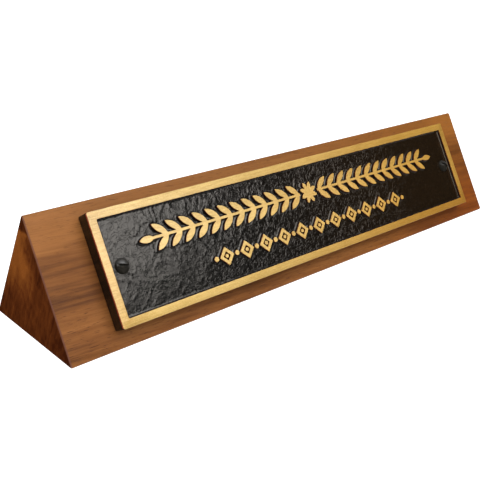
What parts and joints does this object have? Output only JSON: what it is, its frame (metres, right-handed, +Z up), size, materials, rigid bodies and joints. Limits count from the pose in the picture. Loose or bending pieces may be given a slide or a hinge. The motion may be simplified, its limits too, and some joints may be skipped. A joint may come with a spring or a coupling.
{
  "type": "desk name-plate block",
  "caption": "Long walnut block with a triangular section; a cast bronze plate with a raised border and ornament is screwed to its sloping front.",
  "frame": {"origin": "middle of the underside, on the desk", "axes": "+X along the length, to the right for someone facing the plate; +Z up; the plate faces -Y and up"},
  "size_m": [0.302, 0.0693, 0.0582],
  "materials": {
    "walnut": "oiled walnut, satin, end grain darker",
    "cast_bronze": "cast bronze, raised work sanded and lacquered, field and sides sprayed black-brown over a leather texture",
    "black_screw": "steel painted black, satin, worn at the slot",
    "black_felt": "pressed wool felt"
  },
  "bodies": {
    "root": {"wood_block": "walnut", "cast_plate": "cast_bronze", "screw_left": "black_screw", "screw_right": "black_screw", "felt_base": "black_felt"}
  },
  "joints": []
}
